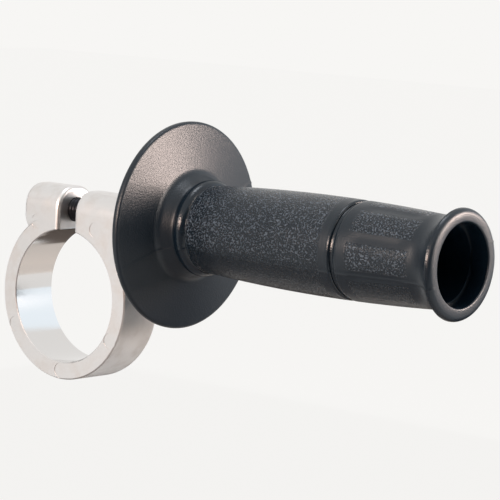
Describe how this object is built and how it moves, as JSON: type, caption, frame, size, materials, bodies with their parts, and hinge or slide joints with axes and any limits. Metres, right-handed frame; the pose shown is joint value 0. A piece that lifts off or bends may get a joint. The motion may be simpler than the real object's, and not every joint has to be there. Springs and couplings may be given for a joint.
{
  "type": "power tool side handle",
  "caption": "Side handle for a hand-held power tool: a split aluminium clamp ring, a hexagon bolt that draws it shut, and a hollow moulded grip with a round hand guard.",
  "frame": {"origin": "centre of the clamp ring's collar bore, halfway along the bore", "axes": "+X along the handle from the ring to the grip's open end, +Y along the bore away from the pictured face, +Z from the bore to the clamp ears"},
  "size_m": [0.1782, 0.065, 0.087],
  "materials": {
    "cast_aluminium": "die cast, fine satin",
    "black_plastic": "moulded, satin with spark-eroded grain",
    "dark_steel": "black oxide",
    "plain_steel": "zinc plated"
  },
  "bodies": {
    "clamp": {"clamp_ring": "cast_aluminium"},
    "washer": {"thrust_washer": "plain_steel"},
    "grip": {"grip_body": "black_plastic", "clamp_bolt": "dark_steel"}
  },
  "joints": [
    {"name": "handle_travel", "type": "slide", "parent": "clamp", "child": "washer", "axis": [1, 0, 0], "range_m": [0, 0.01]},
    {"name": "handle_spin", "type": "hinge", "parent": "washer", "child": "grip", "pos_m": [0, 0, 0.0274], "axis": [1, 0, 0], "range_deg": [0, 2880]}
  ],
  "couplings": [
    {"joint": "handle_travel", "follows": "handle_spin", "m_per_rad": 0.00019894}
  ]
}
